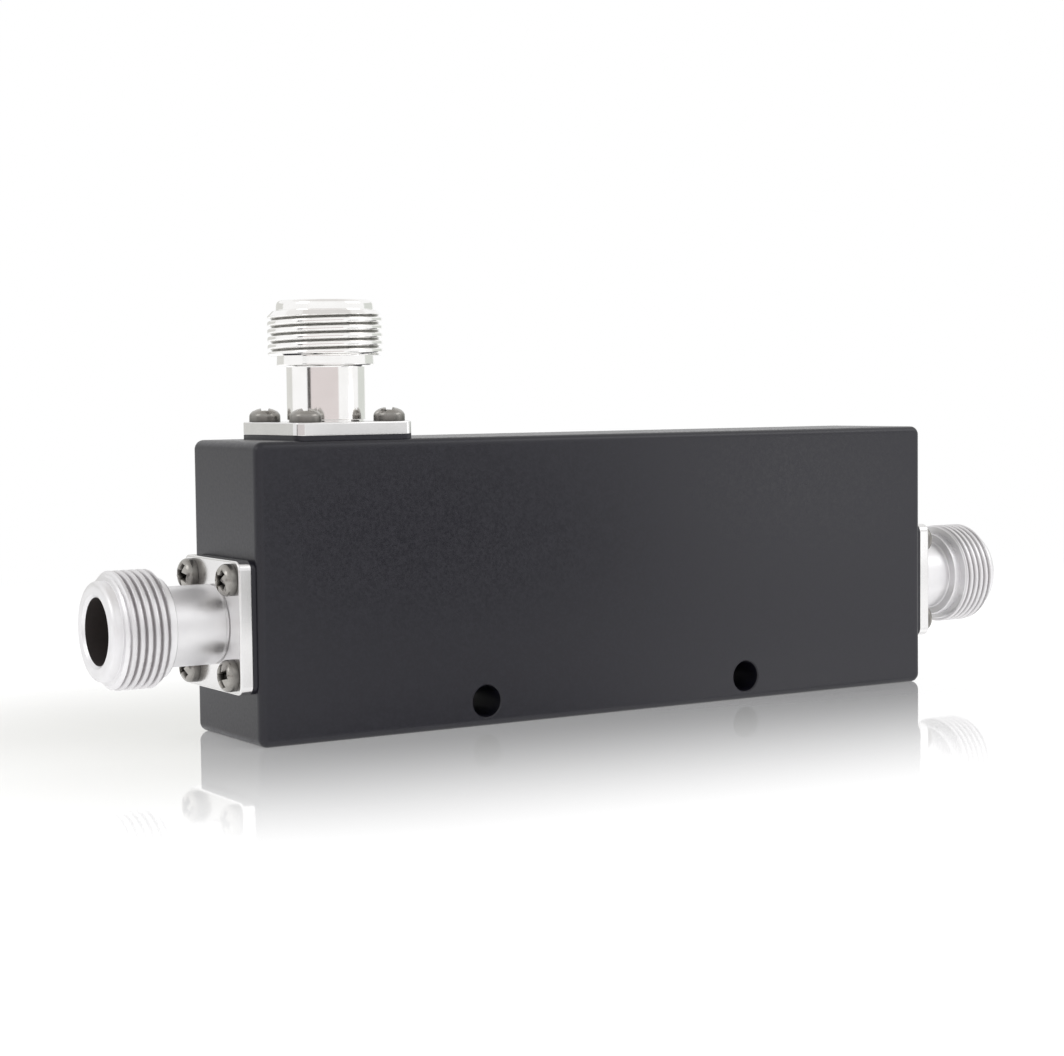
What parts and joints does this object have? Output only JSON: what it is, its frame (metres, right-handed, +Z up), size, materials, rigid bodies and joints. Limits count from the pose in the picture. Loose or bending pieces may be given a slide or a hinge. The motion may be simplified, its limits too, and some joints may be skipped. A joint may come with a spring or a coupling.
{
  "type": "cavity directional coupler",
  "caption": "Flat black block coupler with threaded coaxial flange sockets on both ends and near one end of the top, and holes through its lower edge for mounting.",
  "frame": {"origin": "middle of the bottom face, which is also the middle of the bounding box's base", "axes": "+X along the main line from the input socket to the output socket, +Y from the front face to the cover at the back, +Z up through the top socket"},
  "size_m": [0.153, 0.0206, 0.0595],
  "materials": {
    "black_coat": "satin black coat on milled aluminium",
    "silver_plate": "bright silver-coloured plate on turned brass",
    "nickel_plate": "bright nickel plate on steel",
    "gold_plate": "gold plate on brass",
    "white_bead": "waxy white plastic",
    "load_ceramic": "fired ceramic",
    "line_silver": "silver plate on turned and milled brass"
  },
  "bodies": {
    "root": {"housing": "black_coat", "rear_cover": "black_coat", "cover_screw_1": "nickel_plate", "cover_screw_2": "nickel_plate", "cover_screw_3": "nickel_plate", "cover_screw_4": "nickel_plate", "cover_screw_5": "nickel_plate", "cover_screw_6": "nickel_plate", "cover_screw_7": "nickel_plate", "cover_screw_8": "nickel_plate", "cover_screw_9": "nickel_plate", "cover_screw_10": "nickel_plate", "input_socket_shell": "silver_plate", "input_insulator": "white_bead", "input_contact": "gold_plate", "input_flange_screw_1": "nickel_plate", "input_flange_screw_2": "nickel_plate", "input_flange_screw_3": "nickel_plate", "input_flange_screw_4": "nickel_plate", "output_socket_shell": "silver_plate", "output_insulator": "white_bead", "output_contact": "gold_plate", "output_flange_screw_1": "nickel_plate", "output_flange_screw_2": "nickel_plate", "output_flange_screw_3": "nickel_plate", "output_flange_screw_4": "nickel_plate", "coupled_socket_shell": "silver_plate", "coupled_insulator": "white_bead", "coupled_contact": "gold_plate", "coupled_flange_screw_1": "nickel_plate", "coupled_flange_screw_2": "nickel_plate", "coupled_flange_screw_3": "nickel_plate", "coupled_flange_screw_4": "nickel_plate", "main_line": "line_silver", "coupled_line": "line_silver", "line_support_1": "white_bead", "line_support_2": "white_bead", "line_support_3": "white_bead", "load_base": "nickel_plate", "load_element": "load_ceramic", "load_tab": "line_silver", "load_screw_1": "nickel_plate", "load_screw_2": "nickel_plate"}
  },
  "joints": []
}
